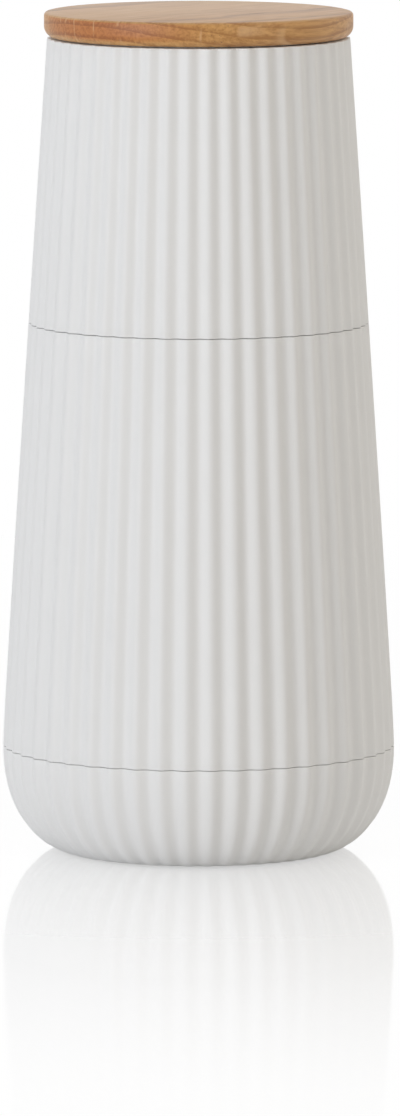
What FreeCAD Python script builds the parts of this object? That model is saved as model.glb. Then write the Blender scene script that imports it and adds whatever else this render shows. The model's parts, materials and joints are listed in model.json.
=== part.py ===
"""Fluted salt and pepper mill: a removable base cup, a mill body with a ceramic grinder,
a turning head and an oak lid, as separate pieces. Millimetres, +Z up, origin at the centre
of the foot, on the table."""

import FreeCAD, Part
import math
import os
import re

import PartDesign
import Sketcher

Vector = FreeCAD.Vector

doc = FreeCAD.newDocument("mill")
sheet = doc.addObject("Spreadsheet::Sheet", "Sizes")


# Sizes

sizes = {
    # Outside form
    "base_height": 21.15,             # table to the top edge of the base
    "seam_gap": 0.3,                  # open joint under the body and under the head
    "body_height": 86.4,
    "head_height": 57.9,
    "lid_gap": 0.3,                   # open joint under the lid
    "lid_thickness": 5.0,
    "base_reach": 13.0,               # from the widest radius in to where the base would touch
    "contact_handle": 3.4,            # how flat the rounding leaves the table
    "side_handle": 16.0,              # how upright the rounding meets the seam
    "widest_radius": 40.0,            # crests of the flutes at the lower seam
    "belly_handle": 4.1,              # how long the body stays upright above the seam
    "taper_run": 0.73,                # straight part of the taper, as a share of its height
    "taper_spread": 0.77,             # and as a share of what it gains in radius
    "taper": 9.17,                    # radius lost from the lower seam up to the head's rim
    # Flutes
    "flutes": 48,
    "flute_depth": 0.9,               # crest to valley at the widest radius
    "flute_roundness": 0.36,          # handle of the wave, as a share of half a pitch
    # Walls and clearances
    "shell_wall": 2.2,                # behind the valleys
    "push_fit": 0.1,                  # radial gap of pieces pushed together for good
    "lift_fit": 0.25,                 # radial gap of pieces that lift apart
    "run_fit": 0.05,                  # gap of pieces that turn on each other
    "seal_gap": 0.08,                 # gap between a soft ring and its bore
    "seal_section": 1.6,
    # Base cup
    "base_floor": 2.5,
    "floor_step": 1.5,                # cup floor beyond the contact radius
    "cup_knee_height": 11.0,
    "cup_wall": 2.4,
    "spigot_height": 6.3,             # of the cup above the base's edge
    "seal_height": 3.2,               # of the soft ring above the base's edge
    "foot_proud": 0.3,
    "foot_sink": 1.0,
    "foot_width": 3.5,
    "foot_margin": 0.5,               # foot inside the contact radius
    # Bottom of the body
    "skirt_wall": 1.5,
    "skirt_setback": 0.5,
    "spigot_room": 1.05,
    "plate_thickness": 2.2,
    "rib_height": 2.0,
    "rib_width": 1.7,
    # Spice chamber
    "chamber_wall": 1.6,
    "flange_width": 1.2,
    "flange_thickness": 1.5,
    "glide_sink": 0.5,
    "glide_thickness": 1.0,
    "glide_margin": 0.3,
    "neck_step": 3.3,                 # neck inside the chamber tube
    "neck_lip": 1.2,
    "funnel_height": 13.0,
    "throat_wall": 3.7,
    "throat_lip": 1.5,
    "throat_reach": 3.4,
    # Head
    "collar_height": 6.0,
    "retainer_play": 0.2,
    "retainer_thickness": 1.1,
    "retainer_depth": 0.7,
    "retainer_reach": 1.0,
    "retainer_room": 0.4,
    "retainer_opening": 20.0,         # degrees left open in the ring
    "ledge_room": 0.8,
    "ledge_thickness": 4.0,
    "ledge_width": 4.3,
    "tube_wall": 1.5,
    "mouth_sink": 0.5,
    "bridge_thickness": 2.4,
    "arm_thickness": 4.0,
    "arm_width": 4.0,
    "arms": 3,
    "hub_radius": 6.0,
    "hub_drop": 3.4,
    "hub_rise": 4.4,
    # Shaft
    "shaft_width": 6.0,
    "square_fit": 0.1,
    "thread_radius": 2.5,
    "thread_length": 6.7,
    "shaft_setback": 0.3,
    "clip_thickness": 0.8,
    "clip_depth": 1.1,
    "clip_reach": 2.6,
    "clip_gap": 0.1,
    "clip_opening": 60.0,
    "end_clip_depth": 0.6,
    "shaft_tail": 0.6,
    # Screws
    "screw_radius": 1.1,
    "screw_head_radius": 2.0,
    "screw_head_height": 1.5,
    "screw_socket": 0.9,
    "thread_gap": 0.05,
    "housing_screws": 3,
    "housing_screw_length": 9.0,
    "bridge_screw_length": 5.6,
    "lid_screw_length": 4.8,
    "shaft_screw_radius": 1.5,
    "shaft_screw_head": 3.5,
    "shaft_screw_length": 8.0,
    "washer_thickness": 0.8,
    "washer_radius": 5.5,
    # Grinder
    "housing_wall": 2.7,
    "housing_flange": 1.7,
    "housing_margin": 0.6,
    "housing_lip": 2.3,
    "outer_burr_wall": 0.8,           # behind its teeth where they are widest
    "outer_burr_height": 12.4,
    "outlet_lip": 1.1,                # under the outer burr
    "burr_seat_height": 0.6,          # inner burr's underside above the outer burr's
    "burr_radius": 15.6,
    "burr_top_radius": 8.6,
    "burr_height": 9.3,
    "burr_gap": 0.9,                  # between the burrs, fully backed off
    "burr_land": 3.0,                 # height over which the gap stays even
    "inlet_radius": 13.4,
    "teeth": 18,
    "tooth_depth": 0.7,
    "tooth_twist": 25.0,              # degrees from the bottom to the top
    "spider_thickness": 2.0,
    "spider_margin": 0.5,             # ring outside the inlet
    "spider_arm_width": 3.0,
    "spider_arm_thickness": 3.5,
    "spider_hub_wall": 2.0,
    "spider_hub_height": 6.0,
    "bush_wall": 1.2,
    "bush_flange": 1.5,
    "bush_flange_thickness": 1.0,
    "bush_rise": 0.4,
    "spring_wire": 0.7,
    "spring_turns": 4.5,
    "spring_gap": 0.15,
    "core_flats": 10.0,
    "core_flange": 1.6,
    "core_flange_radius": 10.5,
    "core_height": 5.4,
    "dial_radius": 12.0,
    "dial_thickness": 4.0,
    "dial_floor": 1.0,
    "dial_grips": 24,
    "grip_radius": 1.0,
    "nut_flats": 8.0,
    # Lid
    "lid_overhang": 0.57,             # beyond the crests at the rim
    "lid_undercut": 1.7,
    "lid_undercut_height": 2.5,
    "lid_edge": 0.6,
    "plug_depth": 7.0,
    "plug_wall": 2.6,
    "plug_plate": 2.0,
    "plug_rest": 0.4,
    "plug_seal_height": 4.4,
    "lid_screw_circle": 15.0,
    "lid_screws": 3,
}

for row, (name, amount) in enumerate(sizes.items(), start=1):
    sheet.set(f"A{row}", name)
    sheet.set(f"B{row}", str(amount))
    sheet.setAlias(f"B{row}", name)
doc.recompute()


def bound(text):
    """Turn plain words into cells of the sheet, leaving function names alone."""
    return re.sub(r"\b[a-z]\w*\b(?!\()", lambda word: "Sizes." + word.group(), str(text))


def value(text):
    return float(sheet.evalExpression(bound(text)))


# Heights

base_top = "base_height"
body_bottom = "(base_height + seam_gap)"
body_top = f"({body_bottom} + body_height)"
head_bottom = f"({body_top} + seam_gap)"
head_top = f"({head_bottom} + head_height)"
lid_bottom = f"({head_top} + lid_gap)"

plate_bottom = "(base_height + spigot_height + spigot_room)"
plate_top = f"({plate_bottom} + plate_thickness)"
flange_top = f"({body_top} - glide_sink)"
flange_bottom = f"({flange_top} - flange_thickness)"
collar_bottom = f"({flange_top} + glide_thickness + run_fit)"
collar_top = f"({collar_bottom} + collar_height)"
retainer_bottom = f"({collar_top} + retainer_play)"
neck_top = f"({retainer_bottom} + retainer_thickness + run_fit + neck_lip)"
ledge_bottom = f"({neck_top} + ledge_room)"
ledge_top = f"({ledge_bottom} + ledge_thickness)"
mouth_top = f"({head_top} - mouth_sink)"
hub_bottom = f"({ledge_top} - hub_drop)"
hub_top = f"({ledge_top} + hub_rise)"
shaft_top = f"({hub_top} - shaft_setback)"

housing_bottom = f"({plate_bottom} - housing_flange)"
burr_bottom = f"({housing_bottom} + housing_lip)"
burr_top = f"({burr_bottom} + outer_burr_height)"
spider_top = f"({burr_top} + spider_thickness)"
funnel_bottom = f"({spider_top} + run_fit + throat_lip)"
funnel_top = f"({funnel_bottom} + funnel_height)"
inner_burr_bottom = f"({burr_bottom} + burr_seat_height)"
core_bottom = f"({inner_burr_bottom} - core_flange)"
core_top = f"({inner_burr_bottom} + core_height)"
bush_bottom = f"({burr_top} - run_fit - bush_flange_thickness)"
dial_bottom = f"({core_bottom} - run_fit - dial_thickness)"
end_clip_bottom = f"({dial_bottom} - 2 * clip_gap - clip_thickness)"
shaft_bottom = f"({end_clip_bottom} - shaft_tail)"


# Radii

contact_radius = "(widest_radius - base_reach)"
rim_radius = "(widest_radius - taper)"
lid_radius = f"({rim_radius} + lid_overhang)"
outer_burr_radius = "(burr_radius + burr_gap + tooth_depth + outer_burr_wall)"
outlet_radius = f"({outer_burr_radius} - outlet_lip)"
housing_radius = f"({outer_burr_radius} + push_fit + housing_wall)"
spider_bore = "(inlet_radius + tooth_depth + spider_margin)"


def crest_chord(height):
    """Radius on the straight line from the widest crest to the crest at the rim."""
    share = f"({head_top} - {height}) / ({head_top} - {body_bottom})"
    return f"({rim_radius} + taper * {share})"


def shell_bore(height):
    """Inside radius of the body and head shells."""
    return f"({crest_chord(height)} - flute_depth - shell_wall)"


skirt_outer = f"({shell_bore(body_bottom)} - push_fit)"
skirt_inner = f"({skirt_outer} - skirt_wall)"
spigot_radius = f"({skirt_inner} - lift_fit)"
cavity_radius = f"({spigot_radius} + push_fit)"
cup_floor_radius = f"({contact_radius} + floor_step)"
cup_inner = f"({spigot_radius} - cup_wall)"
foot_outer = f"({contact_radius} - foot_margin)"
foot_inner = f"({foot_outer} - foot_width)"
chamber_outer = f"({shell_bore(body_top)} - push_fit)"
chamber_inner = f"({chamber_outer} - chamber_wall)"
flange_recess = f"({shell_bore(body_top)} + flange_width)"
neck_outer = f"({chamber_outer} - neck_step)"
neck_inner = f"({neck_outer} - chamber_wall)"
neck_groove = f"({neck_outer} - retainer_depth)"
throat_inner = f"({housing_radius} + push_fit)"
throat_outer = f"({throat_inner} + throat_wall)"
throat_lip_radius = f"({throat_inner} - throat_reach)"
tube_outer = f"({shell_bore(head_top)} - push_fit)"
tube_inner = f"({tube_outer} - tube_wall)"
ledge_inner = f"({tube_inner} - ledge_width)"
housing_screw_circle = f"({throat_inner} + throat_wall / 2)"
housing_flange_radius = f"({housing_screw_circle} + screw_head_radius + housing_margin)"
bridge_screw_circle = f"({ledge_inner} + ledge_width / 2)"
square_bore = "(shaft_width + 2 * square_fit)"
shaft_corner = f"({square_bore} / sqrt(2))"
bush_radius = f"({shaft_corner} + bush_wall)"
hub_bore = f"({bush_radius} + run_fit)"
spider_hub = f"({hub_bore} + spider_hub_wall)"
clip_groove = "(shaft_width / 2 - clip_depth / 2)"
end_clip_groove = "(thread_radius - end_clip_depth)"
seal_radius = "(seal_section / 2)"
core_corner = "(core_flats / sqrt(3))"
burr_recess = f"({core_corner} + push_fit)"
spring_inner = f"({shaft_corner} + spring_gap)"
plug_radius = f"({tube_inner} - lift_fit)"
funnel_slope = f"(funnel_height / ({chamber_inner} - {throat_lip_radius}))"


def funnel_underside(radius):
    """Height of the funnel's outer face at a radius, one wall under its inner face."""
    rise = f"{funnel_slope} * ({radius} - {throat_lip_radius})"
    drop = f"chamber_wall * sqrt(1 + {funnel_slope} * {funnel_slope})"
    return f"({funnel_bottom} + {rise} - {drop})"


def seal_centre(bore):
    """Centre radius of a soft ring that just clears its bore."""
    return f"({bore} - seal_gap - {seal_radius})"


def seal_groove(bore):
    """Bottom radius of the groove that holds the ring."""
    return f"({seal_centre(bore)} - {seal_radius} - run_fit)"


# Tools for the pieces

def new_body(name, height="0"):
    """A body whose own zero lies at the given height."""
    body = doc.addObject("PartDesign::Body", name)
    body.Label = name
    body.setExpression("Placement.Base.z", bound(height))
    return body


def new_sketch(body, name, plane, height="0"):
    sketch = body.newObject("Sketcher::SketchObject", name)
    support = [feature for feature in body.Origin.OriginFeatures if feature.Role == plane][0]
    sketch.AttachmentSupport = [(support, "")]
    sketch.MapMode = "FlatFace"
    sketch.setExpression("AttachmentOffset.Base.z", bound(height))
    return sketch


def add_loop(sketch, corners):
    """Draw a closed outline and tie each corner to the sheet."""
    first = sketch.GeometryCount
    places = [Vector(value(x), value(y), 0) for x, y in corners]
    for start, end in zip(places, places[1:] + places[:1]):
        sketch.addGeometry(Part.LineSegment(start, end))
    for number, (x, y) in enumerate(corners):
        line = first + number
        following = first + (number + 1) % len(corners)
        sketch.addConstraint(Sketcher.Constraint("Coincident", line, 2, following, 1))
        tie(sketch, "DistanceX", line, 1, x)
        tie(sketch, "DistanceY", line, 1, y)


def tie(sketch, kind, geometry, point, text):
    """Hold one coordinate of a point at a size from the sheet."""
    amount = value(text)
    if abs(amount) < 1e-9:
        axis = -2 if kind == "DistanceX" else -1
        sketch.addConstraint(Sketcher.Constraint("PointOnObject", geometry, point, axis))
        return
    index = sketch.addConstraint(Sketcher.Constraint(kind, -1, 1, geometry, point, amount))
    sketch.setExpression(f"Constraints[{index}]", bound(text))


def add_circle(sketch, x, y, radius):
    centre = Vector(value(x), value(y), 0)
    circle = sketch.addGeometry(Part.Circle(centre, Vector(0, 0, 1), value(radius)))
    tie(sketch, "DistanceX", circle, 3, x)
    tie(sketch, "DistanceY", circle, 3, y)
    index = sketch.addConstraint(Sketcher.Constraint("Radius", circle, value(radius)))
    sketch.setExpression(f"Constraints[{index}]", bound(radius))


def add_ring_of_circles(sketch, circle, radius, count, turn=0):
    """Equal circles spaced around the axis."""
    copies = round(value(count))
    for number in range(copies):
        angle = turn + 360 * number / copies
        add_circle(sketch, f"{circle} * cos({angle})", f"{circle} * sin({angle})", radius)


def polygon(flats, sides=6):
    """Corners of a regular polygon, given across its flats."""
    reach = f"{flats} / 2 / cos({180 / sides})"
    angles = [360 * (number + 0.5) / sides for number in range(sides)]
    return [(f"{reach} * cos({angle})", f"{reach} * sin({angle})") for angle in angles]


def turn(body, name, corners, kind="PartDesign::Revolution", opening="0"):
    """Revolve an outline of radii and heights about the body's axis."""
    sketch = new_sketch(body, name + "_outline", "XZ_Plane")
    add_loop(sketch, corners)
    feature = body.newObject(kind, name)
    feature.Profile = sketch
    feature.ReferenceAxis = (sketch, ["V_Axis"])
    feature.setExpression("Angle", bound(f"360 - {opening}"))
    return feature


def raise_from(body, name, sketch, length, down=False):
    pad = body.newObject("PartDesign::Pad", name)
    pad.Profile = sketch
    pad.Reversed = down
    pad.setExpression("Length", bound(length))
    return pad


def sink_into(body, name, sketch, length, up=False):
    pocket = body.newObject("PartDesign::Pocket", name)
    pocket.Profile = sketch
    pocket.Reversed = up
    pocket.setExpression("Length", bound(length))
    return pocket


def repeat(body, name, feature, count):
    """Copy a feature around the body's axis."""
    pattern = body.newObject("PartDesign::PolarPattern", name)
    axis = [part for part in body.Origin.OriginFeatures if part.Role == "Z_Axis"][0]
    pattern.Originals = [feature]
    pattern.Axis = (axis, [""])
    pattern.Angle = 360
    pattern.setExpression("Occurrences", bound(count))
    body.Tip = pattern
    return pattern


def turned(name, height, corners, opening="0"):
    body = new_body(name, height)
    turn(body, name + "_turned", corners, opening=opening)
    return body


def soft_ring(name, height, bore):
    """An O-ring that just clears its bore."""
    ring = doc.addObject("Part::Torus", name)
    ring.Label = name
    ring.setExpression("Radius1", bound(seal_centre(bore)))
    ring.setExpression("Radius2", bound(seal_radius))
    ring.setExpression("Placement.Base.z", bound(height))
    return ring


def screws(name, seat, circle, length, count, turned_by=0, down=False):
    """Equal socket screws whose heads sit at one height, in one node."""
    body = new_body(name, seat)
    heads = new_sketch(body, name + "_head_outline", "XY_Plane")
    add_ring_of_circles(heads, circle, "screw_head_radius", count, turned_by)
    raise_from(body, name + "_heads", heads, "screw_head_height", down=not down)
    shanks = new_sketch(body, name + "_shank_outline", "XY_Plane")
    add_ring_of_circles(shanks, circle, "screw_radius", count, turned_by)
    raise_from(body, name + "_shanks", shanks, length, down=down)
    outer = "screw_head_height" if down else "-screw_head_height"
    sockets = new_sketch(body, name + "_socket_outline", "XY_Plane", outer)
    add_ring_of_circles(sockets, circle, "screw_socket", count, turned_by)
    sink_into(body, name + "_sockets", sockets, "screw_head_height / 2", up=not down)
    return body


def combined(kind, name, base, tool):
    """A boolean of two shapes."""
    result = doc.addObject(kind, name)
    result.Label = name
    result.Base = base
    result.Tool = tool
    return result


# Fluted outside

def side_curve(*poles):
    curve = Part.BezierCurve()
    curve.setPoles([Vector(value(radius), 0, value(height)) for radius, height in poles])
    return curve


def taper_curve():
    """Crest line from the lower seam up to the head's rim."""
    spread = f"{rim_radius} + taper * taper_spread"
    run = f"{head_top} - ({head_top} - {body_bottom}) * taper_run"
    return side_curve(
        ("widest_radius", body_bottom),
        ("widest_radius", f"{body_bottom} + belly_handle"),
        (spread, run),
        (rim_radius, head_top),
    )


def rounding_curve():
    """Crest line from the table up to the lower seam."""
    return side_curve(
        (contact_radius, "0"),
        (f"{contact_radius} + contact_handle", "0"),
        ("widest_radius", "base_height - side_handle"),
        ("widest_radius", "base_height"),
    )


def stretch(curve, low, high):
    """The part of a side curve between two heights."""
    ends = []
    for height, end in ((low, 0.0), (high, 1.0)):
        level = Part.Plane(Vector(0, 0, value(height)), Vector(0, 0, 1))
        found = curve.intersectCS(level)[0]
        ends.append(curve.parameter(Vector(found[0].X, 0, found[0].Z)) if found else end)
    curve.segment(*ends)
    return curve


def flute_outline():
    """One flute of a section of radius 1, from valley over crest to valley."""
    half_pitch = math.pi / value("flutes")
    valley = 1 - value("flute_depth / widest_radius")
    handle = value("flute_roundness") * half_pitch
    stations = [
        (valley, -half_pitch, 0),
        (valley, -half_pitch, handle * valley),
        (1, 0, -handle),
        (1, 0, handle),
        (valley, half_pitch, -handle * valley),
        (valley, half_pitch, 0),
    ]
    outline = []
    for radius, angle, along in stations:
        x = radius * math.cos(angle) - along * math.sin(angle)
        y = radius * math.sin(angle) + along * math.cos(angle)
        outline.append((x, y))
    return outline


def flute_face(low, high):
    """One flute between two points of a side curve, as a ruled face."""
    poles = [[Vector(x * at.x, y * at.x, at.z) for at in (low, high)] for x, y in flute_outline()]
    surface = Part.BSplineSurface()
    surface.buildFromPolesMultsKnots(
        poles, [4, 2, 4], [2, 2], [0, 1, 2], [0, 1], False, False, 3, 1
    )
    return surface.toShape()


def level_face(faces, height):
    """Flat face closing the flutes at one height."""
    edges = []
    for edge in [edge for face in faces for edge in face.Edges]:
        box = edge.BoundBox
        if abs(box.ZMin - height) < 1e-6 and abs(box.ZMax - height) < 1e-6:
            edges.append(edge)
    return Part.Face(Part.Wire(Part.sortEdges(edges)[0]))


def fluted_form(name, curve, bands):
    """Solid with flutes all round, its side following the curve in straight bands."""
    first, last = curve.FirstParameter, curve.LastParameter
    stations = [curve.value(first + (last - first) * step / bands) for step in range(bands + 1)]
    flutes = round(value("flutes"))
    faces = []
    for low, high in zip(stations, stations[1:]):
        flute = flute_face(low, high)
        for number in range(flutes):
            # A valley faces the front, so the crests lie half a pitch off it
            angle = -90 + 360 * (number + 0.5) / flutes
            face = flute.copy()
            face.rotate(Vector(0, 0, 0), Vector(0, 0, 1), angle)
            faces.append(face)
    caps = [level_face(faces, end.z) for end in (stations[0], stations[-1])]
    shell = Part.makeShell(faces + caps)
    shell.sewShape()
    solid = Part.Solid(shell)
    if solid.Volume < 0:
        solid.reverse()
    form = doc.addObject("Part::Feature", name)
    form.Shape = solid
    return form


# Base

def base_shell():
    """Fluted cup of the base, with a groove for the foot."""
    form = fluted_form("base_form", stretch(rounding_curve(), "foot_proud", base_top), 7)
    hollow = new_body("base_hollow")
    floor = "foot_proud + base_floor"
    turn(hollow, "base_cavity", [
        ("0", floor),
        (cup_floor_radius, floor),
        (cavity_radius, "cup_knee_height"),
        (cavity_radius, "base_height + base_floor"),
        ("0", "base_height + base_floor"),
    ])
    turn(hollow, "foot_groove", [
        (foot_inner, "0"),
        (foot_outer, "0"),
        (foot_outer, "foot_proud + foot_sink"),
        (foot_inner, "foot_proud + foot_sink"),
    ])
    return combined("Part::Cut", "base_shell", form, hollow)


def grounds_cup():
    """Smooth inner cup; its top is the spigot that the body stands on."""
    floor = "foot_proud + base_floor + run_fit"
    top = "base_height + spigot_height"
    centre = "base_height + seal_height"
    groove = seal_groove(skirt_inner)
    half_groove = "(seal_section / 2 + run_fit)"
    return turned("grounds_cup", "0", [
        ("0", floor),
        (f"{cup_floor_radius} - push_fit", floor),
        (spigot_radius, "cup_knee_height"),
        (spigot_radius, f"{centre} - {half_groove}"),
        (groove, f"{centre} - {half_groove}"),
        (groove, f"{centre} + {half_groove}"),
        (spigot_radius, f"{centre} + {half_groove}"),
        (spigot_radius, top),
        (cup_inner, top),
        (cup_inner, "cup_knee_height"),
        (f"{cup_floor_radius} - cup_wall", f"{floor} + cup_wall"),
        ("0", f"{floor} + cup_wall"),
    ])


def base_seal():
    return soft_ring("base_seal_ring", "base_height + seal_height", skirt_inner)


def foot_ring():
    return turned("foot_ring", "0", [
        (f"{foot_inner} + push_fit", "0"),
        (f"{foot_outer} - push_fit", "0"),
        (f"{foot_outer} - push_fit", "foot_proud + foot_sink"),
        (f"{foot_inner} + push_fit", "foot_proud + foot_sink"),
    ])


# Mill body

def body_shell():
    """Fluted sleeve with a rib for the bottom plate and a recess for the chamber's flange."""
    form = fluted_form("body_form", stretch(taper_curve(), body_bottom, body_top), 3)
    hollow = new_body("body_hollow")
    above = f"{body_top} + flange_thickness"
    below = f"{body_bottom} - flange_thickness"
    rib_top = f"{plate_top} + rib_height"
    turn(hollow, "body_bore", [
        ("0", below),
        (shell_bore(body_bottom), below),
        (shell_bore(body_bottom), plate_top),
        (f"{shell_bore(body_bottom)} - rib_width", plate_top),
        (f"{shell_bore(body_bottom)} - rib_width", rib_top),
        (shell_bore(f"({rib_top})"), rib_top),
        (shell_bore(flange_bottom), flange_bottom),
        (flange_recess, flange_bottom),
        (flange_recess, above),
        ("0", above),
    ])
    return combined("Part::Cut", "body_shell", form, hollow)


def bottom_plate():
    """Plate under the chamber, with the skirt that slips over the base's spigot."""
    body = turned("bottom_plate", plate_bottom, [
        (throat_inner, "0"),
        (skirt_inner, "0"),
        (skirt_inner, f"{body_bottom} + skirt_setback - {plate_bottom}"),
        (skirt_outer, f"{body_bottom} + skirt_setback - {plate_bottom}"),
        (skirt_outer, "plate_thickness"),
        (throat_inner, "plate_thickness"),
    ])
    holes = new_sketch(body, "plate_hole_outline", "XY_Plane")
    add_ring_of_circles(holes, housing_screw_circle, "screw_radius + thread_gap", "housing_screws")
    sink_into(body, "plate_holes", holes, "plate_thickness", up=True)
    return body


def spice_chamber():
    """Chamber with a funnel floor, a throat for the grinder and a neck for the head."""
    body = turned("spice_chamber", "0", [
        (throat_inner, plate_top),
        (throat_outer, plate_top),
        (throat_outer, funnel_underside(throat_outer)),
        (chamber_outer, funnel_underside(chamber_outer)),
        (chamber_outer, flange_bottom),
        (f"{flange_recess} - push_fit", flange_bottom),
        (f"{flange_recess} - push_fit", flange_top),
        (neck_outer, flange_top),
        (neck_outer, retainer_bottom),
        (neck_groove, retainer_bottom),
        (neck_groove, f"{neck_top} - neck_lip"),
        (neck_outer, f"{neck_top} - neck_lip"),
        (neck_outer, neck_top),
        (neck_inner, neck_top),
        (neck_inner, flange_bottom),
        (chamber_inner, f"{flange_bottom} - neck_step"),
        (chamber_inner, funnel_top),
        (throat_lip_radius, funnel_bottom),
        (throat_lip_radius, f"{spider_top} + run_fit"),
        (throat_inner, f"{spider_top} + run_fit"),
    ])
    holes = new_sketch(body, "throat_hole_outline", "XY_Plane", plate_top)
    add_ring_of_circles(holes, housing_screw_circle, "screw_radius + thread_gap", "housing_screws")
    sink_into(body, "throat_holes", holes, "housing_screw_length - plate_thickness", up=True)
    return body


def glide_ring():
    """Slip ring between body and head, seen in the upper seam."""
    return turned("glide_ring", flange_top, [
        (f"{neck_outer} + push_fit", "0"),
        (f"{shell_bore(head_bottom)} - glide_margin", "0"),
        (f"{shell_bore(head_bottom)} - glide_margin", "glide_thickness"),
        (f"{neck_outer} + push_fit", "glide_thickness"),
    ])


def retaining_ring():
    """Open ring in the neck's groove that keeps the head on."""
    return turned("retaining_ring", retainer_bottom, [
        (f"{neck_groove} + run_fit", "0"),
        (f"{neck_outer} + retainer_reach", "0"),
        (f"{neck_outer} + retainer_reach", "retainer_thickness"),
        (f"{neck_groove} + run_fit", "retainer_thickness"),
    ], opening="retainer_opening")


# Grinder

def grinder_housing():
    """Cup that holds the outer burr, screwed up under the chamber's throat."""
    flange_height = "housing_flange"
    top = f"{burr_top} - {housing_bottom}"
    body = turned("grinder_housing", housing_bottom, [
        (outlet_radius, "0"),
        (housing_flange_radius, "0"),
        (housing_flange_radius, flange_height),
        (housing_radius, flange_height),
        (housing_radius, top),
        (f"{outer_burr_radius} + push_fit", top),
        (f"{outer_burr_radius} + push_fit", "housing_lip"),
        (outlet_radius, "housing_lip"),
    ])
    holes = new_sketch(body, "housing_hole_outline", "XY_Plane")
    add_ring_of_circles(holes, housing_screw_circle, "screw_radius + thread_gap", "housing_screws")
    sink_into(body, "housing_holes", holes, flange_height, up=True)
    return body


def housing_screws():
    length = "housing_screw_length + housing_flange"
    return screws("housing_screws", housing_bottom, housing_screw_circle, length, "housing_screws")


def toothed_form(name, stations, depth):
    """Tapered solid with twisted teeth through (radius, height, share of the twist)."""
    teeth = round(value("teeth"))
    wires = []
    for radius, height, share in stations:
        corners = []
        for number in range(2 * teeth):
            angle = math.pi * number / teeth + math.radians(value("tooth_twist") * share)
            reach = value(radius) - (value(depth) if number % 2 else 0)
            corners.append(Vector(reach * math.cos(angle), reach * math.sin(angle), value(height)))
        wires.append(Part.makePolygon(corners + corners[:1]))
    form = doc.addObject("Part::Feature", name)
    form.Shape = Part.makeLoft(wires, True, True)
    return form


def outer_burr():
    """Fixed ceramic ring, toothed inside, even over the land and wide at the inlet."""
    slope = "(burr_radius - burr_top_radius) / burr_height"
    land_bottom = f"{burr_bottom} + burr_seat_height"
    land_radius = f"burr_radius + burr_gap - {slope} * burr_land + tooth_depth"
    mouth = "burr_radius + burr_gap + tooth_depth"
    hollow = toothed_form("outer_burr_hollow", [
        (mouth, f"{burr_bottom} - burr_seat_height", -0.2),
        (mouth, land_bottom, 0),
        (land_radius, f"{land_bottom} + burr_land", 0.4),
        ("inlet_radius + tooth_depth", f"{burr_top} + burr_seat_height", 1),
    ], "tooth_depth")
    ring = turned("outer_burr_blank", burr_bottom, [
        ("burr_top_radius", "0"),
        (outer_burr_radius, "0"),
        (outer_burr_radius, "outer_burr_height"),
        ("burr_top_radius", "outer_burr_height"),
    ])
    return combined("Part::Cut", "outer_burr", ring, hollow)


def inner_burr():
    """Turning ceramic cone, toothed outside, with a hexagon bore and a spring recess."""
    teeth = toothed_form("inner_burr_teeth", [
        ("burr_radius", inner_burr_bottom, 0),
        ("burr_top_radius", f"{inner_burr_bottom} + burr_height", -1),
    ], "tooth_depth")
    bore = new_body("inner_burr_bore", inner_burr_bottom)
    hexagon = new_sketch(bore, "burr_hexagon", "XY_Plane", "-core_flange")
    add_loop(hexagon, polygon("(core_flats + 2 * push_fit)"))
    raise_from(bore, "burr_hexagon_bore", hexagon, "core_height + core_flange + run_fit")
    turn(bore, "burr_recess_bore", [
        ("0", "core_height"),
        (burr_recess, "core_height"),
        (burr_recess, "burr_height + core_flange"),
        ("0", "burr_height + core_flange"),
    ])
    return combined("Part::Cut", "inner_burr", teeth, bore)


def square_hole(body, name, height, length):
    """Square through hole for the shaft, sunk from a height."""
    outline = new_sketch(body, name + "_outline", "XY_Plane", height)
    add_loop(outline, polygon(square_bore, 4))
    return sink_into(body, name, outline, length)


def burr_core():
    """Hexagon core that carries the inner burr on the square shaft."""
    body = new_body("burr_core", core_bottom)
    turn(body, "core_flange_turned", [
        ("0", "0"),
        ("core_flange_radius", "0"),
        ("core_flange_radius", "core_flange"),
        ("0", "core_flange"),
    ])
    hexagon = new_sketch(body, "core_hexagon", "XY_Plane", "core_flange")
    add_loop(hexagon, polygon("core_flats"))
    raise_from(body, "core_hexagon_raised", hexagon, "core_height")
    height = "core_flange + core_height"
    square_hole(body, "core_square_bore", height, height)
    return body


def bearing_spider():
    """Three-armed bridge over the burrs whose hub guides the shaft."""
    body = new_body("bearing_spider", burr_top)
    turn(body, "spider_ring", [
        (spider_bore, "0"),
        (housing_radius, "0"),
        (housing_radius, "spider_thickness"),
        (spider_bore, "spider_thickness"),
    ])
    turn(body, "spider_hub", [
        (hub_bore, "0"),
        (spider_hub, "0"),
        (spider_hub, "spider_hub_height"),
        (hub_bore, "spider_hub_height"),
    ])
    inner = f"({hub_bore} + spider_hub_wall / 2)"
    arm = new_sketch(body, "spider_arm_outline", "XY_Plane")
    add_loop(arm, bar(inner, f"({spider_bore} + spider_thickness)", "spider_arm_width"))
    pad = raise_from(body, "spider_arm", arm, "spider_arm_thickness")
    repeat(body, "spider_arms", pad, "arms")
    return body


def bar(inner, outer, width):
    """Corners of a straight arm along +X."""
    return [
        (inner, f"-{width} / 2"),
        (outer, f"-{width} / 2"),
        (outer, f"{width} / 2"),
        (inner, f"{width} / 2"),
    ]


def shaft_bush():
    """Round bush on the square shaft; its flange takes the spring."""
    body = new_body("shaft_bush", bush_bottom)
    length = "bush_flange_thickness + run_fit + spider_hub_height + bush_rise"
    turn(body, "bush_turned", [
        ("0", "0"),
        (f"{bush_radius} + bush_flange", "0"),
        (f"{bush_radius} + bush_flange", "bush_flange_thickness"),
        (bush_radius, "bush_flange_thickness"),
        (bush_radius, length),
        ("0", length),
    ])
    square_hole(body, "bush_square_bore", length, length)
    return body


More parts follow.
